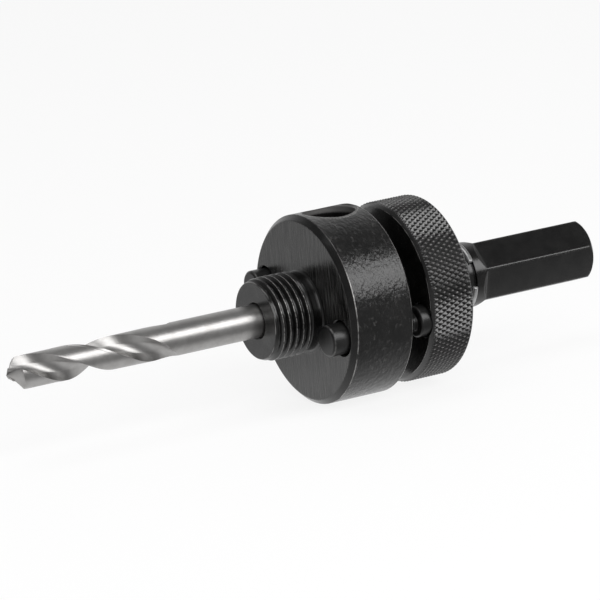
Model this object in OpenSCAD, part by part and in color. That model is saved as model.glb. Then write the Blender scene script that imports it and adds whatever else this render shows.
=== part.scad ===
// Hole saw arbor with a sliding drive collar and a pilot drill.
// The arbor lies along X: the drill points to -X and the hex shank to +X.
// The origin is on the axis, in the front face of the round body, where the saw seats.

/* [Body] */
// Wall between each pin's hole and the rim of the body
pin_wall = 1.25; // [0.8:0.05:4]
// Length of the round body
body_len = 13.5; // [13:0.5:18]
// Bevel round the front rim of the body
body_front_bevel = 1; // [0.4:0.1:1.2]
// Bevel round the rear rim of the body
body_rear_bevel = 0.6; // [0.2:0.1:1]

/* [Threaded nose] */
// Major diameter of the thread that holds the saw
thread_d = 15.875; // [14:0.125:17]
// Length of the nose in front of the body
nose_len = 10.4; // [9:0.1:14]
// Width of the thread relief next to the body
relief_w = 2; // [1:0.1:3]
// Depth of the thread relief
relief_depth = 0.45; // [0.2:0.05:1.2]
// Bevel at the front end of the nose
nose_bevel = 0.55; // [0.2:0.05:1]

/* [Shank] */
// Diameter of the round neck that the collar slides on
neck_d = 12.7; // [12:0.1:14]
// Length of the round neck behind the body
neck_len = 24; // [23:0.5:28]
// Width of the hex shank across its flats
hex_flats = 11.11; // [10:0.01:11.2]
// Length of the hex shank behind the neck
hex_len = 25.3; // [15:0.1:50]
// Length of the slope where each flat runs out on the neck
hex_runout = 1.1; // [0.5:0.1:2]
// Bevel at the rear end of the shank
shank_bevel = 0.9; // [0.4:0.1:1.5]

/* [Pilot drill] */
// Diameter of the pilot drill
drill_d = 6.35; // [5:0.05:7]
// How far the drill stands out of the nose
drill_reach = 52.5; // [45:0.5:70]
// How deep the drill sits in the arbor
drill_grip = 30; // [26:0.5:32]
// Length of the two flutes, from the tip
flute_len = 35; // [25:0.5:42]
// Angle of the drill's point
point_angle = 118; // [100:1:140]
// Helix angle of the flutes at the outside
helix_angle = 30; // [20:1:35]
// Thickness of the core between the flutes
web = 1.5; // [1:0.1:2]
// Depth of the flat that the screw bears on
drill_flat_depth = 0.6; // [0.3:0.1:1]

/* [Clamping screw] */
// Diameter of the clamping screw
screw_d = 10; // [8:0.5:10]
// Length of the clamping screw
screw_len = 8; // [6:0.5:11]
// How far the screw stands behind the middle of the body
screw_setback = 0.75; // [0:0.05:0.8]
// Width of the screw's socket across its flats
socket_flats = 5; // [4:0.5:6]
// Depth of the screw's socket
socket_depth = 4.5; // [3:0.5:5]
// Bevel round the mouth of the screw's hole
mouth_bevel = 0.5; // [0.2:0.1:0.8]

/* [Drive collar] */
// How much lower the collar's knurl lies than the rim of the body
collar_step = 0.7; // [0:0.1:1]
// Length of the collar
collar_len = 9.2; // [7:0.1:12]
// Gap between the body and the collar as it stands
collar_gap = 4.5; // [2:0.1:6]
// Bevel round the front rim of the collar
collar_front_bevel = 0.9; // [0.3:0.1:1.5]
// Bevel round the rear rim of the collar
collar_rear_bevel = 0.5; // [0.2:0.1:1]

/* [Drive pins] */
// Diameter of each drive pin
pin_d = 6; // [5:0.1:6.5]
// Diameter of the circle through the centres of the pins
pin_circle = 27.4; // [23:0.1:34]
// How far the pins stand out of the body's front face
pin_reach = 3.3; // [1:0.1:5]
// Tilt of the line through the pins, in degrees from level
pin_tilt = 14; // [0:1:20]
// Diameter at the bottom of each pin's groove
pin_groove_d = 3.2; // [2.5:0.1:4]
// Distance from the collar's front face to the groove
pin_shoulder = 2; // [1:0.1:2.5]
// Width of each pin's groove
pin_groove_w = 3.2; // [2:0.1:4]

/* [Retaining ring] */
// Diameter of the ring's wire
wire_d = 1.2; // [0.8:0.1:1.4]
// Distance from the body's rear face to the middle of the ring
ring_at = 21.1; // [20:0.1:22]
// Depth of the ring's groove in the neck
ring_groove_depth = 0.6; // [0.4:0.1:0.7]
// Opening of the ring, in degrees
ring_opening = 42; // [20:1:90]

/* [Clearances] */
// Radial play of the collar on the neck
collar_play = 0.05; // [0.02:0.01:0.1]
// Radial play of the drill in its bore
drill_play = 0.03; // [0.01:0.01:0.1]
// Radial play of the pins in the body
pin_play = 0.25; // [0.1:0.05:0.4]
// Radial play of the clamping screw in its thread
screw_play = 0.05; // [0.02:0.01:0.1]

/* [Hidden] */
$fn = 96;

// Overlap that carries a cut clean through a face
cut = 1;

// Places along the axis
nose_x = -nose_len;
tip_x = nose_x - drill_reach;
drill_end_x = nose_x + drill_grip;
neck_end_x = body_len + neck_len;
shank_end_x = neck_end_x + hex_len;
collar_x = body_len + collar_gap;
collar_end_x = collar_x + collar_len;
ring_x = body_len + ring_at;
screw_x = body_len / 2 + screw_setback;

// Directions round the axis, in degrees from +Z towards +Y
pin_turn = 90 - pin_tilt;
pin_angles = [pin_turn + 180, pin_turn];
ring_turn = -pin_turn - 2;

// Bores and radii that follow from the sizes above
bore_r = drill_d / 2 + drill_play;
pin_hole_r = pin_d / 2 + pin_play;
body_d = pin_circle + 2 * (pin_hole_r + pin_wall);
collar_d = body_d - 2 * collar_step;
screw_hole_r = screw_d / 2 + screw_play;
flat_z = drill_d / 2 - drill_flat_depth;

// Small bevels and gaps
bore_end_gap = 0.2;
bore_mouth_bevel = 0.4;
pin_hole_bevel = 0.3;
pin_seat_bevel = 0.5;
pin_tip_bevel = 0.35;
pin_shoulder_bevel = 0.3;
pin_end_inset = 0.4;
collar_bore_bevel = 0.4;
screw_tip_bevel = 1;
screw_top_bevel = 0.6;
thread_root_bevel = 0.4;
land_clearance = 0.03;
flute_overlap = 0.4;

// Each flute is cut by an arc whose centre moves outward where the flute runs out
drill_r = drill_d / 2;
land_r = drill_r - land_clearance;
flute_arc_r = 0.82 * drill_r;
flute_arc_at = web / 2 + flute_arc_r;
flute_runout = 0.9 * drill_d;
flute_pitch = PI * drill_d / tan(helix_angle);
least_half_angle = 3;
flute_start_turn = 1;
flute_steps = 8;
land_steps = 8;
turn_step = 6.5;

// A child drawn along +Z is laid along +X, starting at x.
module along_x(x = 0) {
  translate([x, 0, 0]) rotate([0, 90, 0]) children();
}

// A child drawn in the plane above the axis is turned round the axis, from +Z towards +Y.
module turned(angle) {
  rotate([-angle, 0, 0]) children();
}

// A solid turned about X from points of [x, radius].
module lathe(points) {
  along_x() rotate_extrude() polygon([for (p = points) [p[1], p[0]]]);
}

// Turned outside of the nose, the body, the neck and the bar of the shank.
module turned_body() {
  thread_r = thread_d / 2;
  relief_r = thread_r - relief_depth;
  body_r = body_d / 2;
  neck_r = neck_d / 2;
  groove_r = neck_r - ring_groove_depth;
  lathe([
    [nose_x, 0],
    [nose_x, thread_r - nose_bevel],
    [nose_x + nose_bevel, thread_r],
    [-relief_w - thread_root_bevel, thread_r],
    [-relief_w, relief_r],
    [0, relief_r],
    [0, body_r - body_front_bevel],
    [body_front_bevel, body_r],
    [body_len - body_rear_bevel, body_r],
    [body_len, body_r - body_rear_bevel],
    [body_len, neck_r],
    [ring_x - wire_d / 2, neck_r],
    [ring_x - wire_d / 2, groove_r],
    [ring_x + wire_d / 2, groove_r],
    [ring_x + wire_d / 2, neck_r],
    [shank_end_x - shank_bevel, neck_r],
    [shank_end_x, neck_r - shank_bevel],
    [shank_end_x, 0]
  ]);
}

// Cutter for one flat of the hex shank, with the slope where the flat runs out on the neck.
module hex_flat_cutter(angle) {
  flat_r = hex_flats / 2;
  outer_r = neck_d / 2 + cut;
  slope = hex_runout / (neck_d / 2 - flat_r);
  turned(angle) rotate([90, 0, 0]) linear_extrude(neck_d, center = true) polygon([
    [neck_end_x - slope * cut, outer_r],
    [neck_end_x + hex_runout, flat_r],
    [shank_end_x + cut, flat_r],
    [shank_end_x + cut, outer_r]
  ]);
}

// Blind bore for the drill, with a bevelled mouth.
module drill_bore() {
  end_x = drill_end_x + bore_end_gap;
  lathe([
    [nose_x - cut, 0],
    [nose_x - cut, bore_r + bore_mouth_bevel + cut],
    [nose_x + bore_mouth_bevel, bore_r],
    [end_x, bore_r],
    [end_x, 0]
  ]);
}

// Threaded hole for the clamping screw, from the bore out through the top of the body.
module screw_hole() {
  body_r = body_d / 2;
  translate([screw_x, 0, 0]) {
    cylinder(h = body_r + cut, r = screw_hole_r);
    translate([0, 0, body_r - mouth_bevel])
      cylinder(h = mouth_bevel + cut, r1 = screw_hole_r, r2 = screw_hole_r + mouth_bevel + cut);
  }
}

// A child drawn at the axis is moved to the centre of a drive pin.
module at_pin(angle) {
  turned(angle) translate([0, 0, pin_circle / 2]) children();
}

// Hole through the body for one drive pin, bevelled at both faces.
module pin_hole(angle) {
  mouth_r = pin_hole_r + pin_hole_bevel;
  at_pin(angle) lathe([
    [-cut, 0],
    [-cut, mouth_r + cut],
    [pin_hole_bevel, pin_hole_r],
    [body_len - pin_hole_bevel, pin_hole_r],
    [body_len + cut, mouth_r + cut],
    [body_len + cut, 0]
  ]);
}

module arbor_body() {
  color([0.16, 0.16, 0.17]) difference() {
    turned_body();
    for (side = [0 : 5]) hex_flat_cutter(pin_turn + 60 * side);
    drill_bore();
    screw_hole();
    for (angle = pin_angles) pin_hole(angle);
  }
}

// Knurled collar that slides on the neck and carries the drive pins.
module drive_collar() {
  hole_r = neck_d / 2 + collar_play;
  outer_r = collar_d / 2;
  seat_r = pin_d / 2;
  color([0.2, 0.2, 0.21]) difference() {
    lathe([
      [collar_x, hole_r + collar_bore_bevel],
      [collar_x, outer_r - collar_front_bevel],
      [collar_x + collar_front_bevel, outer_r],
      [collar_end_x - collar_rear_bevel, outer_r],
      [collar_end_x, outer_r - collar_rear_bevel],
      [collar_end_x, hole_r + collar_bore_bevel],
      [collar_end_x - collar_bore_bevel, hole_r],
      [collar_x + collar_bore_bevel, hole_r]
    ]);
    for (angle = pin_angles) at_pin(angle) lathe([
      [collar_x - cut, 0],
      [collar_x - cut, seat_r + pin_seat_bevel + cut],
      [collar_x + pin_seat_bevel, seat_r],
      [collar_end_x + cut, seat_r],
      [collar_end_x + cut, 0]
    ]);
  }
}

// Drive pin pressed into the collar, with a groove in front of its shoulder.
module drive_pin(angle) {
  r = pin_d / 2;
  groove_r = pin_groove_d / 2;
  shoulder_x = collar_x - pin_shoulder;
  groove_x = shoulder_x - pin_groove_w;
  end_x = collar_end_x - pin_end_inset;
  color([0.3, 0.3, 0.31]) at_pin(angle) lathe([
    [-pin_reach, 0],
    [-pin_reach, r - pin_tip_bevel],
    [-pin_reach + pin_tip_bevel, r],
    [groove_x - pin_tip_bevel, r],
    [groove_x, r - pin_tip_bevel],
    [groove_x, groove_r],
    [shoulder_x, groove_r],
    [shoulder_x, r - pin_shoulder_bevel],
    [shoulder_x + pin_shoulder_bevel, r],
    [end_x - pin_shoulder_bevel, r],
    [end_x, r - pin_shoulder_bevel],
    [end_x, 0]
  ]);
}

// Open wire ring that stops the collar at the rear.
module retaining_ring() {
  wire_r = wire_d / 2;
  seat_r = neck_d / 2 - ring_groove_depth;
  sweep = 360 - ring_opening;
  color([0.45, 0.45, 0.46])
    turned(ring_turn) along_x(ring_x) rotate([0, 0, 180 + ring_opening / 2])
      rotate_extrude(angle = sweep) translate([seat_r + wire_r, 0]) circle(r = wire_r, $fn = 32);
}

// Headless screw that bears on the drill's flat.
module drill_set_screw() {
  r = screw_d / 2;
  socket_r = socket_flats / (2 * cos(30));
  top_z = flat_z + screw_len;
  color([0.12, 0.12, 0.13]) translate([screw_x, 0, flat_z]) difference() {
    rotate_extrude() polygon([
      [0, 0],
      [r - screw_tip_bevel, 0],
      [r, screw_tip_bevel],
      [r, screw_len - screw_top_bevel],
      [r - screw_top_bevel, screw_len],
      [0, screw_len]
    ]);
    translate([0, 0, screw_len - socket_depth]) cylinder(h = socket_depth + cut, r = socket_r, $fn = 6);
  }
}

// How far the cutting arc stands from the axis, at a distance s from the tip.
function arc_at(s) =
  let (fade = max(0, 1 - max(0, flute_len - s) / flute_runout))
  flute_arc_at + fade ^ 2 * (land_r + flute_arc_r - flute_arc_at);

// Half the angle that the flute takes up round the drill, at a distance s from the tip.
function flute_half(s) =
  let (at = arc_at(s), c = (at ^ 2 + land_r ^ 2 - flute_arc_r ^ 2) / (2 * at * land_r))
  max(least_half_angle, acos(min(1, c)));

// Radius of the drill at an angle a from the middle of a flute.
function flute_r(s, a) =
  let (at = arc_at(s), q = flute_arc_r ^ 2 - (at * sin(a)) ^ 2)
  q <= 0 ? land_r : min(land_r, at * cos(a) - sqrt(q));

// Points [angle, radius] of half the section: one flute and the land that follows it.
function half_section(s) =
  let (half = flute_half(s), land = 180 - 2 * half)
  concat(
    [for (i = [-flute_steps : flute_steps]) let (a = half * i / flute_steps) [a, flute_r(s, a)]],
    [for (i = [1 : land_steps - 1]) [half + land * i / land_steps, land_r]]
  );

// One ring of the fluted length, cut back to the cone of the point.
function land_ring(s) =
  let (turn = flute_start_turn - 360 * s / flute_pitch, cone_r = s * tan(point_angle / 2))
  [for (side = [0, 180]) for (p = half_section(s))
    let (a = p[0] + side + turn, r = min(p[1], cone_r))
    [tip_x + s, r * sin(a), r * cos(a)]];

// Distances from the tip at which the rings lie: close together on the point, then even.
function ring_places() =
  let (
    point_len = land_r / tan(point_angle / 2),
    n = ceil((flute_len - point_len) / (flute_pitch * turn_step / 360))
  )
  concat(
    [for (i = [1 : 5]) point_len * i / 6],
    [for (i = [0 : n]) point_len + (flute_len - point_len) * i / n],
    [flute_len + flute_overlap]
  );

// The fluted length as one skin over its rings.
module fluted_length() {
  rings = [for (s = ring_places()) land_ring(s)];
  count = len(rings);
  n = len(rings[0]);
  sides = [for (j = [0 : count - 2]) for (i = [0 : n - 1]) for (half = [0, 1])
    let (a = j * n + i, b = j * n + (i + 1) % n)
    half == 0 ? [a, b, a + n] : [b, b + n, a + n]];
  front = [for (i = [n - 1 : -1 : 0]) i];
  back = [for (i = [0 : n - 1]) (count - 1) * n + i];
  polyhedron(points = [for (ring = rings) each ring], faces = concat(sides, [front, back]));
}

// Twist drill with a flat for the clamping screw.
module pilot_drill() {
  flute_end_x = tip_x + flute_len;
  flat_half = screw_d / 2 + 1;
  color([0.75, 0.76, 0.78]) {
    union() {
      fluted_length();
      difference() {
        along_x(flute_end_x) cylinder(h = drill_end_x - flute_end_x, r = drill_r);
        translate([screw_x - flat_half, -drill_r, flat_z])
          cube([2 * flat_half, drill_d, drill_flat_depth + cut]);
      }
    }
  }
}

arbor_body();
pilot_drill();
drill_set_screw();
drive_collar();
drive_pin(pin_angles[0]);  // drive_pin_1
drive_pin(pin_angles[1]);  // drive_pin_2
retaining_ring();
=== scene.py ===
# %% [markdown]
# # A hole saw arbor with a pilot drill
#
# The arbor lies along X: the drill points to -X and the hex shank to +X. The CAD model gives the frame
# and the true sizes, and this lesson builds the looks on top of it: a cut thread, a diamond knurl, ground
# flutes and blackened steel.
#
# Every visible piece is a skin over rings of points, because turned parts are rings by nature. Where the
# real part is milled or drilled, the same cut is made here with a cutter.
#
# Sizes are in millimetres, as a workshop drawing would give them, and are turned into metres only when a
# mesh is written. Angles go round the axis from +Z towards +Y.

import math

import bmesh
import bpy
import numpy as np
from mathutils import Matrix, Vector


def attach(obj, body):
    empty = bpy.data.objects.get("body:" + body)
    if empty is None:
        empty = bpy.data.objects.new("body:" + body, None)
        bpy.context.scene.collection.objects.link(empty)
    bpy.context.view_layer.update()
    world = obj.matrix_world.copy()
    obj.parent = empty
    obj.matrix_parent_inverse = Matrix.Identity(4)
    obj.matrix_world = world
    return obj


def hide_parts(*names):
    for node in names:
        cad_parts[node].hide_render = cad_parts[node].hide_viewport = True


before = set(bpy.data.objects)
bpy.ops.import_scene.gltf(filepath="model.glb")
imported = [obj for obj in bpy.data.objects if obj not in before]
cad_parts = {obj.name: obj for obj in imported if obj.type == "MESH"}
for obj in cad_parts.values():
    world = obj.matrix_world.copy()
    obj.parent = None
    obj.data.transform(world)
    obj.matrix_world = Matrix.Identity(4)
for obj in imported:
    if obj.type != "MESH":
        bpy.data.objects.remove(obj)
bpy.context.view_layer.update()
MM = 0.001
print("CAD nodes:", sorted(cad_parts))

# %% [markdown]
# ## Sizes
#
# These repeat the driving sizes of the CAD source, so that each visual piece lies on its CAD node. Three
# forms are fitted to the photograph instead. The hex's flats start 0.7 mm further forward than in the CAD
# model. The nose tapers over about its first turn of thread, where the CAD model has a plain bevel. The
# drill's flutes have a slightly longer pitch.

# %% Sizes
BODY_R, BODY_LEN = 18.2, 13.5
FRONT_BEVEL, REAR_BEVEL = 1.0, 0.6
THREAD_R, NOSE_LEN, RELIEF_W, RELIEF_DEPTH = 7.9375, 10.4, 2.0, 0.45
THREAD_PITCH = 25.4 / 18
NOSE_BEVEL, LEAD_IN = 0.55, 1.5
NECK_R, NECK_END, SHANK_END = 6.35, 36.8, 62.8
HEX_FLAT_R, HEX_RUNOUT, SHANK_BEVEL = 11.11 / 2, 1.1, 0.9
DRILL_R, TIP_X, DRILL_END_X, FLUTE_LEN = 3.175, -62.9, 19.6, 35.0
BORE_R = DRILL_R + 0.03
SCREW_X, SCREW_R, SCREW_LOW, SCREW_LEN = 7.5, 5.0, 2.575, 8.0
COLLAR_X, COLLAR_END, COLLAR_R, COLLAR_BORE_R = 18.0, 27.2, 17.5, 6.4
PIN_R, PIN_CIRCLE_R, PIN_HOLE_R = 3.0, 13.7, 3.25
PIN_ANGLES = (256.0, 76.0)
RING_X, WIRE_R, RING_SEAT_R = 34.6, 0.6, 5.75
RING_TURN, RING_OPENING = -78.0, 42.0
print("From the drill's tip to the end of the shank:", round(SHANK_END - TIP_X, 1), "mm")

# %% [markdown]
# ## Rings and skins
#
# A profile is a list of corners [x, r, rounding]. Real corners are never perfectly sharp, so each corner
# is rounded by a small curve, and a support ring on either side keeps the flats flat under smooth shading.

# %% Rings and skins
def rounded(corners, steps=3, support=0.12):
    """Points [x, r] along a profile whose corners [x, r, rounding] are rounded."""
    points = [corners[0][:2]]
    for before, corner, after in zip(corners, corners[1:], corners[2:]):
        here = np.array(corner[:2], float)
        back, ahead = np.array(before[:2]) - here, np.array(after[:2]) - here
        room_back, room_ahead = np.linalg.norm(back), np.linalg.norm(ahead)
        back, ahead = back / room_back, ahead / room_ahead
        reach = min(corner[2], 0.45 * room_back, 0.45 * room_ahead)
        if reach <= 0:
            points.append(tuple(here))
            continue
        start, end = here + back * reach, here + ahead * reach
        if room_back > 2 * (reach + support):
            points.append(tuple(start + back * support))
        for i in range(steps + 1):
            t = i / steps
            points.append(tuple((1 - t) ** 2 * start + 2 * t * (1 - t) * here + t * t * end))
        if room_ahead > 2 * (reach + support):
            points.append(tuple(end + ahead * support))
    points.append(corners[-1][:2])
    return points


def around(count, start=0.0):
    """Evenly spaced angles round the axis, in degrees."""
    return start + np.arange(count) * 360.0 / count


def turned_rings(points, angles):
    """Rings of points [x, y, z] for a profile of [x, r], turned about X."""
    points = np.array(points, float)
    a = np.radians(angles)
    x = np.repeat(points[:, :1], len(a), axis=1)
    r = points[:, 1:2]
    return np.stack([x, r * np.sin(a), r * np.cos(a)], axis=-1)


def skin(name, rings, fold=None):
    """An object from rings, with walls between them and a cap at each end.

    Where fold is given, each wall is two triangles, and fold says along which diagonal they meet.
    """
    count, n = rings.shape[:2]
    verts = (rings.reshape(-1, 3) * MM).tolist()
    i = np.arange(n)
    faces = []
    for j in range(count - 1):
        a, b = j * n + i, j * n + (i + 1) % n
        quads = np.stack([a, b, b + n, a + n], axis=1)
        if fold is None:
            faces.extend(quads.tolist())
            continue
        flip = fold[j]
        one = np.where(flip[:, None], quads[:, [0, 1, 3]], quads[:, [0, 1, 2]])
        two = np.where(flip[:, None], quads[:, [1, 2, 3]], quads[:, [0, 2, 3]])
        faces.extend(one.tolist())
        faces.extend(two.tolist())
    faces.append(list(range(n))[::-1])
    faces.append([(count - 1) * n + k for k in range(n)])
    mesh = bpy.data.meshes.new(name)
    mesh.from_pydata(verts, [], faces)
    work = bmesh.new()
    work.from_mesh(mesh)
    bmesh.ops.recalc_face_normals(work, faces=work.faces)
    work.to_mesh(mesh)
    work.free()
    piece = bpy.data.objects.new(name, mesh)
    bpy.context.scene.collection.objects.link(piece)
    return piece


def smooth(piece, sharp_angle=32):
    """Smooth shading with real creases kept."""
    piece.data.shade_smooth()
    piece.data.set_sharp_from_angle(angle=math.radians(sharp_angle))


def cut(piece, cutter):
    """Takes the cutter out of the piece, as a milling or drilling pass does."""
    step = piece.modifiers.new("cut", "BOOLEAN")
    step.operation, step.solver, step.object = "DIFFERENCE", "EXACT", cutter
    depsgraph = bpy.context.evaluated_depsgraph_get()
    result = bpy.data.meshes.new_from_object(piece.evaluated_get(depsgraph))
    piece.modifiers.clear()
    piece.data = result
    bpy.data.objects.remove(cutter)


def placed(rings, matrix):
    """The same rings moved by a 4x4 matrix."""
    m = np.array(matrix)
    return rings @ m[:3, :3].T + m[:3, 3]


def at_pin(angle):
    """Moves a ring drawn round the axis to the centre of a drive pin."""
    a = math.radians(angle)
    return Matrix.Translation((0, PIN_CIRCLE_R * math.sin(a), PIN_CIRCLE_R * math.cos(a)))


# How many points go round a hole, a pin or the screw.
ROUND_STEPS = 96

# A ring drawn round X from x = 0 stands round Z over the clamping screw's hole.
TO_SCREW = Matrix.Translation((SCREW_X, 0, 0)) @ Matrix.Rotation(math.radians(-90), 4, "Y")


def done(piece, node, body, sharp_angle=32):
    """Smooths a piece, hangs it on its body and puts it in place of its CAD node."""
    smooth(piece, sharp_angle)
    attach(piece, body)
    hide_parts(node)
    print(f"{piece.name}: {len(piece.data.polygons)} faces, rides on {body}")
    return piece


corner = rounded([(0, 0), (0, 5, 0.5), (5, 5)])
print("A rounded corner takes", len(corner), "points, and two straight ends")

# %% [markdown]
# ## Threads
#
# A screw thread is one V shape that climbs by a pitch for each turn. Its depth at any point follows from
# the point's place along the axis plus its share of a turn, so the helix needs no extra modelling. The
# crest is an eighth of the pitch wide, the root a quarter, and both are slightly rounded as after rolling.

# %% Threads
def thread_depth(along, angles, pitch):
    """Depth below the crest for places along the axis and angles, for a right-hand thread."""
    u = np.linspace(0, 1, 721)[:-1]
    slope = (np.abs(u - 0.5) - 1 / 16) * pitch * math.sqrt(3)
    shape = np.clip(slope, 0, 5 / 16 * pitch * math.sqrt(3))
    width = 45
    ring = np.concatenate([shape[-width:], shape, shape[:width]])
    shape = np.convolve(ring, np.ones(width) / width, "same")[width:-width]
    phase = (along[:, None] / pitch + angles[None, :] / 360) % 1
    return np.interp(phase * 720, np.arange(721), np.append(shape, shape[0]))


one_turn = thread_depth(np.linspace(0, THREAD_PITCH, 100), np.zeros(1), THREAD_PITCH)
print("The nose's thread is", round(float(one_turn.max()), 2), "mm deep")

# %% [markdown]
# ## The body, turned from one bar
#
# The nose, the round body, the neck and the shank are one turning. The rings along the nose are dense
# enough to carry the thread. On the shank each ring is held to the six flats, which run out on the neck in
# a short slope, and the narrow strips left at the corners are the last of the round bar.

# %% Body angles
BODY_STEPS = 288


def body_angles():
    """Angles round the body, with three of them on the narrow strip at each hex corner."""
    a = around(BODY_STEPS)
    strip = math.degrees(math.acos(HEX_FLAT_R / NECK_R))
    for side in range(6):
        k = side * BODY_STEPS // 6
        a[(k + 1) % BODY_STEPS] = side * 60 + (30 - strip)
        a[(k - 1) % BODY_STEPS] = side * 60 - (30 - strip)
    return (a + PIN_ANGLES[1] + 30) % 360


BODY_ANGLES = body_angles()
from_flat = (BODY_ANGLES - PIN_ANGLES[1] + 30) % 60 - 30
print("Each ring of the body has", len(BODY_ANGLES), "points")

# %% Body profile
thread_root = THREAD_R - RELIEF_DEPTH
bore_front = rounded([(0.5, 0.02), (DRILL_END_X + 0.2, 0.02, 0), (DRILL_END_X + 0.2, BORE_R, 0.05),
                      (-NOSE_LEN + 0.4, BORE_R, 0.06), (-NOSE_LEN, BORE_R + 0.4, 0.08),
                      (-NOSE_LEN, THREAD_R - NOSE_BEVEL, 0.12), (-NOSE_LEN + LEAD_IN, THREAD_R, 0.3),
                      (-NOSE_LEN + 2.2, THREAD_R)])[1:-1]
nose_x = np.arange(-NOSE_LEN + 0.3, -RELIEF_W - 0.4, THREAD_PITCH / 24)
body_back = rounded([(-RELIEF_W - 0.8, THREAD_R), (-RELIEF_W - 0.4, THREAD_R, 0.08),
                     (-RELIEF_W, thread_root, 0.15), (0, thread_root, 0.8),
                     (0, BODY_R - FRONT_BEVEL, 0.16), (FRONT_BEVEL, BODY_R, 0.16),
                     (BODY_LEN - REAR_BEVEL, BODY_R, 0.12), (BODY_LEN, BODY_R - REAR_BEVEL, 0.12),
                     (BODY_LEN, NECK_R, 0.25), (RING_X - WIRE_R, NECK_R, 0.06),
                     (RING_X - WIRE_R, RING_SEAT_R, 0.1), (RING_X + WIRE_R, RING_SEAT_R, 0.1),
                     (RING_X + WIRE_R, NECK_R, 0.06), (NECK_END - 0.3, NECK_R)])[1:]
run_out = [(NECK_END - 0.1 + i * (HEX_RUNOUT + 0.2) / 8, NECK_R) for i in range(9)]
shank = rounded([(NECK_END + 2, NECK_R), (SHANK_END - SHANK_BEVEL, NECK_R, 0.6),
                 (SHANK_END, NECK_R - SHANK_BEVEL, 0.4), (SHANK_END, 0.02)])
front_end = [p for p in bore_front if p[0] < nose_x[0] or p[1] < THREAD_R - 0.6]
taper = [THREAD_R - NOSE_BEVEL + (x + NOSE_LEN) * NOSE_BEVEL / LEAD_IN for x in nose_x]
nose = [(x, min(THREAD_R, r)) for x, r in zip(nose_x, taper)]
profile = front_end + nose + body_back + run_out + shank
print("Body profile:", len(profile), "rings")

# %% Body skin
rings = turned_rings(profile, BODY_ANGLES)
along = np.array([p[0] for p in profile])
radius = np.repeat(np.array([[p[1]] for p in profile]), len(BODY_ANGLES), axis=1)
on_nose = (np.arange(len(profile)) >= len(front_end)) & (along < -0.3)
fade = np.clip((-RELIEF_W + 0.1 - along) / 1.3, 0, 1)[:, None]
threaded = THREAD_R - thread_depth(along, BODY_ANGLES, THREAD_PITCH) * fade
radius[on_nose] = np.minimum(radius, threaded)[on_nose]
flat = np.interp(along, [NECK_END, NECK_END + HEX_RUNOUT], [NECK_R, HEX_FLAT_R])[:, None]
on_shank = (along > NECK_END - 0.2) & (radius[:, 0] > 1)
limit = flat / np.cos(np.radians(from_flat))[None, :]
radius[on_shank] = np.minimum(radius, limit)[on_shank]
a = np.radians(BODY_ANGLES)
rings = np.stack([rings[..., 0], radius * np.sin(a), radius * np.cos(a)], axis=-1)
arbor = skin("arbor", rings)
print("Body skin:", len(arbor.data.vertices), "points")

# %% [markdown]
# ## Drilled holes
#
# The two pin holes run through the body beside the nose. Each cutter is a rod with a flared end, which
# leaves the small bevel that a countersink leaves.

# %% Drilled holes
def bevelled_rod(x0, x1, r, bevel, angles):
    """Rings of a rod from x0 to x1 that flares by a bevel at both faces."""
    out = 1.0
    corners = [(x0 - out, r + bevel + out, 0), (x0 + bevel, r, 0.1), (x1 - bevel, r, 0.1),
               (x1 + out, r + bevel + out, 0)]
    return turned_rings(rounded(corners), angles)


for angle in PIN_ANGLES:
    hole = bevelled_rod(0, BODY_LEN, PIN_HOLE_R, 0.3, around(ROUND_STEPS))
    cut(arbor, skin("pin_hole", placed(hole, at_pin(angle))))
print("Pin holes cut")

# %% [markdown]
# The clamping screw's hole is tapped, so its cutter carries a thread. Its top is plain, so that the thread
# starts below the countersink.

# %% Tapped hole
TAP_PITCH, TAP_START = 1.25, 2.6
tap_r = SCREW_R + 0.05
tap_z = np.arange(1.0, BODY_R + 1.2, TAP_PITCH / 12)
tap_angles = around(ROUND_STEPS)
cut_in = np.clip((BODY_R - TAP_START - tap_z) / 0.8, 0, 1)[:, None]
flare = np.maximum(0, tap_z - (BODY_R - 0.55))[:, None]
tapped = tap_r - thread_depth(tap_z, tap_angles, TAP_PITCH) * cut_in + flare
t = np.radians(tap_angles)
tap_x = np.repeat(tap_z[:, None], len(tap_angles), axis=1)
tap = np.stack([tap_x, tapped * np.sin(t), tapped * np.cos(t)], axis=-1)
cut(arbor, skin("tap", placed(tap, TO_SCREW)))
done(arbor, "arbor_body", "arbor")

# %% [markdown]
# ## The collar and its knurl
#
# A diamond knurl is two sets of V grooves that cross. Where they leave metal, small pyramids stand, with
# tops a little flat from rolling and handling. The grid follows the diamonds, so that each groove lies on
# the edges of the mesh: each cell is folded along the groove that crosses it.

# %% Knurl
DIAMONDS, DIAMOND_LEN, PER_DIAMOND = 104, 1.8, 8
KNURL_DEPTH, KNURL_TOP = 0.36, 0.9


def ridge(u):
    """1 half way between two grooves and 0 in each groove."""
    return 1 - np.abs(2 * (u % 1) - 1)


step = DIAMOND_LEN / PER_DIAMOND
rows = math.ceil((COLLAR_END - COLLAR_X) / step)
knurl_x = COLLAR_X + 0.25 + np.arange(rows) * step
knurl_x = knurl_x[knurl_x < COLLAR_END - 0.2]
knurl_angles = around(DIAMONDS * PER_DIAMOND)
u = np.arange(DIAMONDS * PER_DIAMOND) / PER_DIAMOND
v = np.arange(len(knurl_x)) / PER_DIAMOND
height = np.minimum(ridge(u[None, :] + v[:, None]), ridge(u[None, :] - v[:, None]))
height = np.minimum(height, KNURL_TOP) / KNURL_TOP
wall = np.interp(knurl_x, [COLLAR_X, COLLAR_X + 0.9, COLLAR_END - 0.5, COLLAR_END],
                 [COLLAR_R - 0.9, COLLAR_R, COLLAR_R, COLLAR_R - 0.5])[:, None]
knurl_r = np.minimum(wall, COLLAR_R - KNURL_DEPTH * KNURL_TOP * (1 - height))
k = np.radians(knurl_angles)
around_x = np.repeat(knurl_x[:, None], len(k), axis=1)
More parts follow.
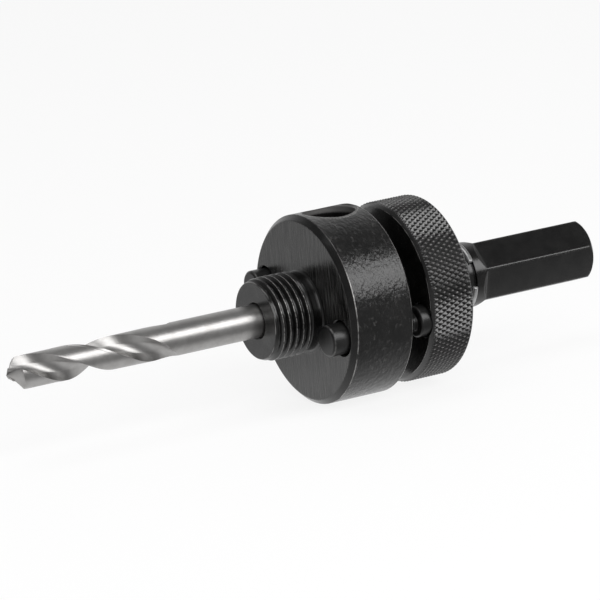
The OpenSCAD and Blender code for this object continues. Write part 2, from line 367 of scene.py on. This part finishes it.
knurl = np.stack([around_x, knurl_r * np.sin(k), knurl_r * np.cos(k)], axis=-1)

front = turned_rings([(COLLAR_END - 0.4, COLLAR_BORE_R), (COLLAR_X + 0.4, COLLAR_BORE_R),
                      (COLLAR_X + 0.04, COLLAR_BORE_R + 0.36), (COLLAR_X, COLLAR_BORE_R + 0.46),
                      (COLLAR_X, COLLAR_R - 1.02), (COLLAR_X + 0.02, COLLAR_R - 0.94),
                      (COLLAR_X + 0.08, COLLAR_R - 0.85)], knurl_angles)
rear = turned_rings([(COLLAR_END - 0.08, COLLAR_R - 0.45), (COLLAR_END - 0.02, COLLAR_R - 0.52),
                     (COLLAR_END, COLLAR_R - 0.62), (COLLAR_END, COLLAR_BORE_R + 0.46),
                     (COLLAR_END - 0.04, COLLAR_BORE_R + 0.36),
                     (COLLAR_END - 0.4, COLLAR_BORE_R)], knurl_angles)
rings = np.concatenate([front, knurl, rear])
across = np.floor(u * 2).astype(int) % 2
fold = np.zeros((len(rings) - 1, len(k)), bool)
for j in range(len(knurl_x) - 1):
    fold[len(front) + j] = (int(math.floor((j + 0.5) / PER_DIAMOND * 2)) % 2) != across
print("Knurl:", DIAMONDS, "diamonds round,", len(knurl_x), "rings along")


# %% [markdown]
# The collar's skin closes on itself through its bore, so it has no caps: the last ring of the bore is the
# first one again.

# %% Collar
def tube(name, rings, fold):
    """A skin whose last ring is its first one, such as a ring with a bore."""
    piece = skin(name, rings, fold)
    work = bmesh.new()
    work.from_mesh(piece.data)
    caps = [f for f in work.faces if len(f.verts) > 4]
    bmesh.ops.delete(work, geom=caps, context="FACES_ONLY")
    bmesh.ops.remove_doubles(work, verts=work.verts, dist=1e-7)
    bmesh.ops.recalc_face_normals(work, faces=work.faces)
    work.to_mesh(piece.data)
    work.free()
    return piece


collar = tube("collar", rings, fold)
for angle in PIN_ANGLES:
    seat = bevelled_rod(COLLAR_X, COLLAR_END + 2, PIN_R + 0.01, 0.4, around(ROUND_STEPS))
    cut(collar, skin("pin_seat", placed(seat, at_pin(angle))))
done(collar, "drive_collar", "collar", 20)

# %% [markdown]
# ## Drive pins
#
# Each pin is pressed into the collar and runs forward through the body. A deep groove, which shows in the
# gap, leaves a shoulder in front of the collar.

# %% Drive pins
SHOULDER_X = COLLAR_X - 2.0
GROOVE_X = SHOULDER_X - 3.2
GROOVE_R, PIN_BEVEL = 1.6, 0.35
PIN_TIP_X, PIN_END_X = -3.3, COLLAR_END - 0.4
PIN_PROFILE = rounded([(PIN_TIP_X, 0.02), (PIN_TIP_X, PIN_R - PIN_BEVEL, 0.14),
                       (PIN_TIP_X + PIN_BEVEL, PIN_R, 0.16), (GROOVE_X - PIN_BEVEL, PIN_R, 0.12),
                       (GROOVE_X, PIN_R - PIN_BEVEL, 0.12), (GROOVE_X, GROOVE_R, 0.2),
                       (SHOULDER_X, GROOVE_R, 0.3),
                       (SHOULDER_X, PIN_R - 0.3, 0.08), (SHOULDER_X + 0.3, PIN_R, 0.1),
                       (PIN_END_X - 0.3, PIN_R, 0.1), (PIN_END_X, PIN_R - 0.3, 0.1), (PIN_END_X, 0.02)])
for number, angle in enumerate(PIN_ANGLES, start=1):
    rings = placed(turned_rings(PIN_PROFILE, around(ROUND_STEPS)), at_pin(angle))
    done(skin(f"pin_{number}", rings), f"drive_pin_{number}", "collar")

# %% [markdown]
# ## Retaining ring
#
# A bent piece of spring wire snaps into the groove behind the collar. Its section is swept round the axis
# and shrinks to a dome at both ends, where the wire was cropped and tumbled.

# %% Retaining ring
def wire_ring():
    """Rings of the wire's section along its sweep, domed at both ends."""
    sweep = 360 - RING_OPENING
    middle_r = RING_SEAT_R + WIRE_R
    dome = math.degrees(0.45 * WIRE_R / middle_r)
    turns = [dome * (1 - math.cos(t)) for t in np.linspace(0.15, math.pi / 2, 6)]
    sizes = [math.sin(t) for t in np.linspace(0.15, math.pi / 2, 6)]
    middle = np.linspace(dome, sweep - dome, 180)[1:-1]
    stations = list(zip(turns, sizes)) + [(t, 1.0) for t in middle]
    stations += [(sweep - t, s) for t, s in reversed(list(zip(turns, sizes)))]
    section = np.radians(around(32))
    rings = []
    for turn, size in stations:
        a = math.radians(RING_TURN + RING_OPENING / 2 + turn)
        r = middle_r + WIRE_R * size * np.cos(section)
        x = RING_X + WIRE_R * size * np.sin(section)
        rings.append(np.stack([x, r * math.sin(a), r * math.cos(a)], axis=-1))
    return np.array(rings)


done(skin("wire_ring", wire_ring()), "retaining_ring", "arbor")

# %% [markdown]
# ## Clamping screw
#
# A headless screw holds the drill. Its socket is made in the same skin: behind the top bevel the rings
# turn from round to a hexagon, go down the socket and close in the drilled cone at its bottom.

# %% Clamping screw
SOCKET_FLAT_R = 2.5
screw_angles = around(ROUND_STEPS)
s = np.radians(screw_angles)
hexagon = SOCKET_FLAT_R / np.cos(np.radians((screw_angles + 30) % 60 - 30))
side_z = np.arange(1.0, SCREW_LEN - 0.55, TAP_PITCH / 12)
side_r = np.minimum(SCREW_R - thread_depth(side_z + SCREW_LOW, screw_angles, TAP_PITCH),
                    np.interp(side_z, [0.6, 1.0, 7.4, 8.0], [4.6, 5.0, 5.0, 4.4])[:, None])
round_part = [(0, 0.02), (0, 3.9), (0.08, 4.1), (0.5, 4.5)]
levels = [z for z, r in round_part] + list(side_z) + [7.95, 8.0, 8.0, 7.8, 7.7, 3.55, 3.5, 2.6]
radii = [np.full(ROUND_STEPS, r) for z, r in round_part] + list(side_r)
radii += [np.full(ROUND_STEPS, r) for r in (4.35, 4.25, 3.1)]
radii += [hexagon, hexagon, hexagon, hexagon * 0.97, np.full(ROUND_STEPS, 0.02)]
rings = np.array([np.stack([np.full(ROUND_STEPS, z + SCREW_LOW), r * np.sin(s), r * np.cos(s)], axis=-1)
                  for z, r in zip(levels, radii)])
done(skin("clamping_screw", placed(rings, TO_SCREW)), "drill_set_screw", "arbor")

# %% [markdown]
# ## The pilot drill
#
# A twist drill is one section turned along a helix. Its section has two flutes, ground by a wheel, and two
# lands. Only a narrow margin at the front of each land touches the hole's wall: behind it the land lies a
# little lower. At the shank end the wheel rises out of the bar and the flutes run out. The point is a cone
# whose flanks fall away behind the cutting edges.

# %% Drill section
HELIX_ANGLE, HALF_POINT = math.radians(29), math.radians(59)
HELIX_PITCH = math.pi * 2 * DRILL_R / math.tan(HELIX_ANGLE)
WHEEL_R = 0.82 * DRILL_R
WHEEL_AT = 0.75 + WHEEL_R
RUN_OUT = 0.95 * 2 * DRILL_R
FLUTE_STEPS, LAND_STEPS = 36, 36
MARGIN, CLEARANCE = 11.0, 0.06
print("The flutes make a turn in", round(HELIX_PITCH, 1), "mm")


def wheel_at(s):
    """How far the grinding wheel's centre stands from the axis, at a distance s from the tip."""
    fade = max(0.0, 1 - max(0.0, FLUTE_LEN - s) / RUN_OUT)
    return WHEEL_AT + fade ** 1.8 * (DRILL_R + WHEEL_R - WHEEL_AT)


def section(s):
    """Angles, radii and shares behind the cutting edge of half the drill's section."""
    at = wheel_at(s)
    c = (at ** 2 + DRILL_R ** 2 - WHEEL_R ** 2) / (2 * at * DRILL_R)
    half = max(2.0, math.degrees(math.acos(min(1.0, c))))
    inside = np.linspace(-half, half, FLUTE_STEPS + 1)
    q = WHEEL_R ** 2 - (at * np.sin(np.radians(inside))) ** 2
    r = np.where(q > 0, at * np.cos(np.radians(inside)) - np.sqrt(np.maximum(q, 0)), DRILL_R)
    r = np.minimum(r, DRILL_R)
    land = 180 - 2 * half
    back = np.concatenate([np.linspace(0, 1, LAND_STEPS - 6)[1:] * (1 - MARGIN / land),
                           1 - np.array([0.92, 0.75, 0.5, 0.25, 0.1]) * MARGIN / land])
    depth = CLEARANCE * min(1.0, max(0.0, (FLUTE_LEN - RUN_OUT - s) / 6))
    lower = np.clip((1 - back) * land / MARGIN - 0.92, 0, 0.08) / 0.08
    heel = np.clip(1 - back * land / 8, 0, 1) ** 2
    land_r = DRILL_R - depth * (lower + heel)
    r[-1] = min(r[-1], land_r[0] + 0.02)
    angles = np.concatenate([inside, half + land * back])
    radii = np.concatenate([r, land_r])
    behind = np.where(angles <= half, 0.0, np.radians(180 - half - angles))
    return angles, radii, behind


# %% Drill skin
def drill_ring(s):
    """One ring of the fluted length, cut back to the ground point."""
    angles, radii, behind = section(s)
    turn = 1.0 - 360 * s / HELIX_PITCH
    cone = s / (1 / math.tan(HALF_POINT) + 0.17 * behind)
    r = np.minimum(radii, cone)
    a = np.radians(np.concatenate([angles, angles + 180]) + turn)
    r = np.concatenate([r, r])
    return np.stack([np.full(len(a), TIP_X + s), r * np.sin(a), r * np.cos(a)], axis=-1)


point_len = DRILL_R / math.tan(HALF_POINT) * 1.9
places = np.concatenate([np.linspace(0.01, point_len, 26)[:-1],
                         np.arange(point_len, FLUTE_LEN + 0.3, 0.22)])
fluted = np.array([drill_ring(s) for s in places])
bar_angles = np.degrees(np.arctan2(fluted[-1][:, 1], fluted[-1][:, 2]))
bar_x = [TIP_X + FLUTE_LEN + 0.5, -14, 0.2, SCREW_X - 6, SCREW_X - 5.95, SCREW_X, SCREW_X + 3,
         SCREW_X + 5.95, SCREW_X + 6, SCREW_X + 6.4, DRILL_END_X - 0.4,
         DRILL_END_X - 0.1, DRILL_END_X]
bar_r = [DRILL_R] * 11 + [DRILL_R - 0.2, DRILL_R - 0.4]
bar = turned_rings(list(zip(bar_x, bar_r)), bar_angles)
on_flat = np.abs(bar[..., 0] - SCREW_X) < 5.97
bar[..., 2] = np.where(on_flat, np.minimum(bar[..., 2], SCREW_LOW), bar[..., 2])
drill = skin("pilot_drill", np.concatenate([fluted, bar]))
done(drill, "pilot_drill", "arbor", 26)

# %% [markdown]
# ## Painting with numbers
#
# A material here is worked out from the place on the part: how far along the axis, how far from it and at
# which angle. The class below lets shader sockets be added and multiplied like plain numbers, and one
# method adds any other node.

# %% Shader helpers
class Wire:
    """A shader socket that takes part in sums like a number."""

    def __init__(self, paint, socket):
        self.paint, self.socket = paint, socket

    def math(self, operation, *others):
        return self.paint.node("ShaderNodeMath", {"operation": operation}, dict(enumerate((self,) + others)))

    def __add__(self, other):
        return self.math("ADD", other)

    def __sub__(self, other):
        return self.math("SUBTRACT", other)

    def __mul__(self, other):
        return self.math("MULTIPLY", other)

    def __truediv__(self, other):
        return self.math("DIVIDE", other)

    def __rsub__(self, other):
        return self.paint.number(other).math("SUBTRACT", self)

    def __rtruediv__(self, other):
        return self.paint.number(other).math("DIVIDE", self)

    def __abs__(self):
        return self.math("ABSOLUTE")

    __radd__ = __add__
    __rmul__ = __mul__

    def most(self, other):
        return self.math("MAXIMUM", other)

    def rise(self, low, high):
        """0 below low, 1 above high and smooth between them."""
        limits = {0: self, 1: low, 2: high, 3: 0.0, 4: 1.0}
        return self.paint.node("ShaderNodeMapRange", {"interpolation_type": "SMOOTHSTEP"}, limits)


class Nodes:
    """A node tree. One method adds any node to it."""

    def __init__(self, tree):
        self.tree = tree

    def node(self, kind, settings=None, inputs=None, output=0):
        """Adds a node: first its settings, then its inputs as numbers, colours or wires."""
        made = self.tree.nodes.new(kind)
        for key, value in (settings or {}).items():
            setattr(made, key, value)
        for key, value in (inputs or {}).items():
            self.plug(value, made.inputs[key])
        return Wire(self, made.outputs[output])

    def plug(self, value, socket):
        if isinstance(value, Wire):
            self.tree.links.new(value.socket, socket)
        else:
            socket.default_value = value

    def number(self, value):
        wire = self.node("ShaderNodeValue")
        wire.socket.default_value = value
        return wire


class Paint(Nodes):
    """The material of one piece, with the place on the part in millimetres."""

    def __init__(self, name):
        self.material = bpy.data.materials.new(name)
        self.material.use_nodes = True
        super().__init__(self.material.node_tree)
        self.surface = self.tree.nodes["Principled BSDF"]
        place = self.node("ShaderNodeTexCoord", output=3)
        place = self.node("ShaderNodeVectorMath", {"operation": "SCALE"}, {0: place, 3: 1000.0})
        split = self.node("ShaderNodeSeparateXYZ", {}, {0: place})
        self.place = place
        self.x, self.y, self.z = (Wire(self, out) for out in split.socket.node.outputs)
        self.r = (self.y * self.y + self.z * self.z).math("SQRT")
        self.a = self.y.math("ARCTAN2", self.z)

    def at(self, x, y, z):
        """A texture place made of three numbers or wires."""
        return self.node("ShaderNodeCombineXYZ", {}, {0: x, 1: y, 2: z})

    def noise(self, place, scale, detail=3.0, rough=0.5):
        values = {"Vector": place, "Scale": scale, "Detail": detail, "Roughness": rough}
        return self.node("ShaderNodeTexNoise", {}, values)

    def mix(self, factor, low, high):
        """A colour between low and high."""
        return self.node("ShaderNodeMix", {"data_type": "RGBA"}, {0: factor, 6: low, 7: high}, output=2)

    def near(self, x, r, width):
        """1 on the edge that runs round the axis at [x, r], fading to 0 at a width from it."""
        dx, dr = self.x - x, self.r - r
        return 1 - (dx * dx + dr * dr).math("SQRT").rise(width * 0.4, width)

    def finish(self, piece, **inputs):
        """Plugs the finished values into the surface and gives the material to the piece."""
        for key, value in inputs.items():
            self.plug(value, self.surface.inputs[key.replace("_", " ").title()])
        piece.data.materials.clear()
        piece.data.materials.append(self.material)
        print("Material", self.material.name, "with", len(self.tree.nodes), "nodes")

    def bump(self, height, distance):
        """A surface normal from marks of height 0 to 1 that stand a distance in millimetres high."""
        values = {"Height": height, "Distance": distance * MM, "Strength": 1.0}
        return self.node("ShaderNodeBump", {}, values)


def grey(value, warm=0.0):
    """A grey that leans a little towards red when warm is above 0."""
    return (value * (1 + warm), value, value * (1 - warm), 1.0)


print("A wire can be added, subtracted, multiplied and divided, on either side of a number")


# %% [markdown]
# ## Blackened steel
#
# Black oxide is a thin glassy skin, so it reflects like dark glass and keeps the tool marks under it. The
# round face is ground in straight lines, the turned parts carry fine rings, and the rims and crests are
# rubbed down to bright steel. Two marks are painted light: bright steel on the upper wall of the screw
# hole is a painted highlight, and the rubbed front edge fading out over the top is painted shade.

# %% Blackened steel
# The bright steel of rubbed places, which also paints the highlight inside the screw hole.
RUBBED_AND_LIT_STEEL = grey(0.4, 0.02)


def blackened(name, dark=0.002, light=0.005):
    """The common ground of the blackened parts: paint, patches and turning lines."""
    paint = Paint(name)
    paint.surface.inputs["Specular IOR Level"].default_value = 0.5
    patches = paint.noise(paint.place, 0.35, 4.0, 0.6)
    fine = paint.noise(paint.place, 4.0, 3.0, 0.6)
    lines = paint.noise(paint.at(paint.x * 9.0, paint.r * 9.0, paint.a * 0.6), 1.0, 2.0, 0.6)
    colour = paint.mix(patches.rise(0.35, 0.7), grey(dark, 0.02), grey(light, 0.03))
    return paint, patches, fine, lines, colour


paint, patches, fine, lines, colour = blackened("blackened_steel")
on_face = (1 - abs(paint.x).rise(0.02, 0.06)) * paint.r.rise(7.7, 7.9)
on_rim = paint.r.rise(BODY_R - 0.1, BODY_R - 0.03)
scratches = paint.noise(paint.at(paint.y * 3.0, paint.z * 0.16, paint.x), 1.0, 3.0, 0.6)
chatter = paint.noise(paint.at(paint.x * 1.5, paint.a * 14.0, 0.0), 1.0, 2.0, 0.6)
specks = paint.noise(paint.at(paint.x * 0.5, paint.a * 6.0, 3.0), 1.0, 3.0, 0.7)
# The rubbed front edge fades out over the top of the rim. This is painted shade: its bright line stays low on
# the rim, where the key light falls.
front_edge = paint.near(FRONT_BEVEL, BODY_R, 0.15) * (1 - 0.8 * paint.z.rise(7.0, 11.0))
rear_edges = (paint.near(BODY_LEN - REAR_BEVEL, BODY_R, 0.1)
              .most(paint.near(BODY_LEN, BODY_R - REAR_BEVEL, 0.1)))
edges = front_edge.most(rear_edges).most(paint.near(-NOSE_LEN, 7.39, 0.1))
crests = paint.r.rise(7.88, 7.93) * (1 - paint.x.rise(-2.4, -2.2))
corners = paint.r.rise(6.2, 6.34) * paint.x.rise(NECK_END + 1.2, NECK_END + 1.6)
# The share of bright steel: rubbed edges and crests, plus painted light in the screw hole and on the front
# edge.
wear_and_painted_light = (edges * patches.rise(0.36, 0.6) * 0.7).most(crests * fine.rise(0.35, 0.65) * 0.55)
wear_and_painted_light = wear_and_painted_light.most(corners * fine.rise(0.45, 0.7) * 0.1)
wear_and_painted_light = wear_and_painted_light.most(on_face * scratches.rise(0.42, 0.66) * 0.06)
nose_face = (1 - paint.x.rise(-10.38, -10.3)) * patches.rise(0.4, 0.65)
wear_and_painted_light = wear_and_painted_light.most(nose_face * fine.rise(0.3, 0.7) * 0.07)
from_screw = ((paint.x - SCREW_X) * (paint.x - SCREW_X) + paint.y * paint.y).math("SQRT")
# A band of bright steel round the screw hole's upper wall is a painted highlight: the lit ring just inside
# the mouth, above the dark depth.
hole_wall_highlight = (1 - from_screw.rise(5.1, 5.6)) * paint.z.rise(16.3, 16.9)
wear_and_painted_light = wear_and_painted_light.most(hole_wall_highlight * 0.3)
hole_edge = (1 - abs(from_screw - 5.58).rise(0.06, 0.16)) * paint.z.rise(15.0, 16.0)
wear_and_painted_light = wear_and_painted_light.most(hole_edge * fine.rise(0.35, 0.6) * 0.4)
wear_and_painted_light = wear_and_painted_light.most(on_rim * chatter.rise(0.52, 0.7) * specks.rise(0.42, 0.62) * 0.08)
colour = paint.mix(on_face * scratches.rise(0.35, 0.7), colour, grey(0.022, 0.02))
colour = paint.mix(wear_and_painted_light, colour, RUBBED_AND_LIT_STEEL)
marks = lines * (1 - on_face) * (1 - on_rim) + scratches * on_face * 3.0 + chatter * on_rim * 11.0
paint.finish(arbor, base_color=colour, metallic=wear_and_painted_light, normal=paint.bump(marks + fine * 0.3, 0.014),
             roughness=0.17 + 0.1 * patches + 0.08 * specks * on_rim + 0.2 * hole_wall_highlight)

# %% Collar steel
paint, patches, fine, lines, colour = blackened("collar_steel", 0.002, 0.006)
paint.surface.inputs["Specular IOR Level"].default_value = 0.8
crests = paint.r.rise(17.34, 17.49) * paint.x.rise(COLLAR_X + 0.5, COLLAR_X + 1)
front_edge = paint.near(COLLAR_X, COLLAR_R - 0.95, 0.12) * patches.rise(0.4, 0.6)
wear_and_painted_light = (crests * fine.rise(0.3, 0.65) * 0.5).most(front_edge * 0.4)
colour = paint.mix(wear_and_painted_light, colour, RUBBED_AND_LIT_STEEL)
paint.finish(collar, base_color=colour, metallic=wear_and_painted_light, roughness=0.16 + 0.06 * patches,
             normal=paint.bump(lines * 0.6 + fine * 0.4, 0.012))

# %% Pin, screw and wire steel
paint, patches, fine, lines, colour = blackened("pin_steel", 0.002, 0.006)
edges = (1 - abs(paint.x + 2.95).rise(0.05, 0.2)) * patches.rise(0.4, 0.65) * 0.25
colour = paint.mix(edges, colour, RUBBED_AND_LIT_STEEL)
for name in ("pin_1", "pin_2"):
    paint.finish(bpy.data.objects[name], base_color=colour, metallic=edges, roughness=0.3 + 0.12 * patches,
                 normal=paint.bump(fine, 0.012))

paint, patches, fine, lines, colour = blackened("screw_steel", 0.006, 0.014)
paint.finish(bpy.data.objects["clamping_screw"], base_color=colour, roughness=0.3 + 0.12 * patches,
             normal=paint.bump(fine, 0.012))

paint = Paint("spring_steel")
fine = paint.noise(paint.at(paint.x * 5.0, paint.r * 5.0, paint.a * 2.0), 1.0, 3.0, 0.6)
paint.finish(bpy.data.objects["wire_ring"], base_color=paint.mix(fine.rise(0.3, 0.7), grey(0.15), grey(0.42)),
             metallic=0.7, roughness=0.26 + 0.12 * fine, normal=paint.bump(fine, 0.008))

# %% [markdown]
# ## Ground steel
#
# The drill is bright ground high-speed steel: satin on the lands and the shank, where the wheel's lines run
# round it, and smoother in the flutes, where the lines follow the helix.

# %% Ground steel
paint = Paint("ground_steel")
patches = paint.noise(paint.place, 0.5, 3.0, 0.6)
round_lines = paint.noise(paint.at(paint.x * 14.0, paint.r * 3.0, paint.a * 0.8), 1.0, 2.0, 0.6)
twist = paint.a + (paint.x * (2 * math.pi / HELIX_PITCH))
flute_lines = paint.noise(paint.at(twist * 2.0, paint.r * 14.0, paint.x * 0.2), 1.0, 2.0, 0.6)
in_flute = 1 - paint.r.rise(3.0, 3.06)
marks = round_lines * (1 - in_flute) + flute_lines * in_flute
colour = paint.mix(patches.rise(0.3, 0.7), grey(0.31, 0.02), grey(0.37, 0.015))
paint.finish(drill, base_color=colour, metallic=1.0, roughness=0.32 + 0.08 * marks,
             normal=paint.bump(marks, 0.008))

# %% [markdown]
# ## Studio
#
# The part is held level, just touching a pale floor, under soft light. The floor is nearly white to the
# camera, and the rest of its share keeps the part's soft shadow. Black steel looks like what it mirrors, so
# the floor also glows to reflection rays, a painted reflection: white below and behind the part, and grey
# in front of it.

# %% Floor
FLOOR_Z = -BODY_R
bpy.ops.mesh.primitive_plane_add(size=12, location=(0, 0, FLOOR_Z * MM))
floor = bpy.context.object
floor.name = "floor"
paint = Paint("pale_floor")
to_camera = paint.node("ShaderNodeLightPath", output=0)
to_mirror = paint.node("ShaderNodeLightPath", output=3)
to_glass = paint.node("ShaderNodeLightPath", output=6)
paint.finish(floor, base_color=grey(0.9), roughness=0.7)
# Painted reflection: to reflection rays the floor glows white beneath and behind the part, and grey in front
# of it.
reflection_glow_mask = paint.y.rise(-30.0, -5.0) * (1 - 0.4 * paint.y.rise(15.0, 45.0))
floor_glow_colour = paint.mix(reflection_glow_mask.most(to_camera), grey(0.35), grey(1.0))
glow = paint.node("ShaderNodeEmission", {}, {"Color": floor_glow_colour, "Strength": 1.0})
share = 0.86 * to_camera + to_mirror + to_glass
matt = Wire(paint, paint.surface.outputs[0])
blend = paint.node("ShaderNodeMixShader", {}, {0: share, 1: matt, 2: glow})
paint.plug(blend, paint.tree.nodes["Material Output"].inputs["Surface"])

# %% [markdown]
# Three lamps light it. The key light draws the bright band along the cylinders. The fill light stands where
# slopes such as the knurl's and the flutes' mirror it and plain cylinders don't. The top light is for the
# upper sides, and the air behind the part is brighter than the rest.

# %% Soft light
def softbox(name, direction, distance, width, height, glare):
    """A rectangular lamp that looks at the part, with a given brightness of its face."""
    light = bpy.data.lights.new(name, "AREA")
    light.shape, light.size, light.size_y = "RECTANGLE", width, height
    light.energy = glare * math.pi * width * height
    lamp = bpy.data.objects.new(name, light)
    toward = Vector(direction).normalized()
    lamp.location = toward * distance
    lamp.rotation_euler = toward.to_track_quat("Z", "Y").to_euler()
    bpy.context.scene.collection.objects.link(lamp)


softbox("key_light", (0.484, -0.70, 0.53), 0.9, 0.5, 0.5, 4.6)
softbox("fill_light", (-0.16, -0.84, 0.5), 0.9, 0.6, 0.7, 3.8)
softbox("top_light", (-0.25, -0.05, 0.97), 1.3, 0.8, 0.9, 2.2)
world = bpy.data.worlds.new("studio")
bpy.context.scene.world = world
world.use_nodes = True
air = Nodes(world.node_tree)
way = air.node("ShaderNodeTexCoord")
behind = {0: way, 1: (0.49, 0.87, 0.0)}
behind = air.node("ShaderNodeVectorMath", {"operation": "DOT_PRODUCT"}, behind, output=1)
strength = 0.2 + 0.65 * behind.rise(0.3, 0.9)
air.plug(strength, world.node_tree.nodes["Background"].inputs["Strength"])
air.plug(grey(1.0), world.node_tree.nodes["Background"].inputs["Color"])

# %% [markdown]
# ## Camera
#
# The photograph was taken from the drill's side, a little from above and behind it, with a long lens. The
# camera is set by its own three directions, which a fit to the outlines in the photograph gave.

# %% Camera
data = bpy.data.cameras.new("camera")
data.sensor_width, data.lens = 36.0, 258.3
camera = bpy.data.objects.new("camera", data)
bpy.context.scene.collection.objects.link(camera)
right = Vector((0.8554, -0.5104, -0.0886)).normalized()
back = Vector((-0.4831, -0.8477, 0.219)).normalized()
up = back.cross(right).normalized()
right = up.cross(back)
turn = Matrix((right, up, back)).transposed().to_4x4()
camera.matrix_world = Matrix.Translation(Vector((-391.76, -686.68, 179.52)) * MM) @ turn
data.clip_start, data.clip_end = 0.01, 50.0
bpy.context.scene.camera = camera
bpy.context.scene.view_settings.view_transform = "Standard"
print("Camera:", round(camera.location.length, 3), "m from the part, lens", data.lens, "mm")
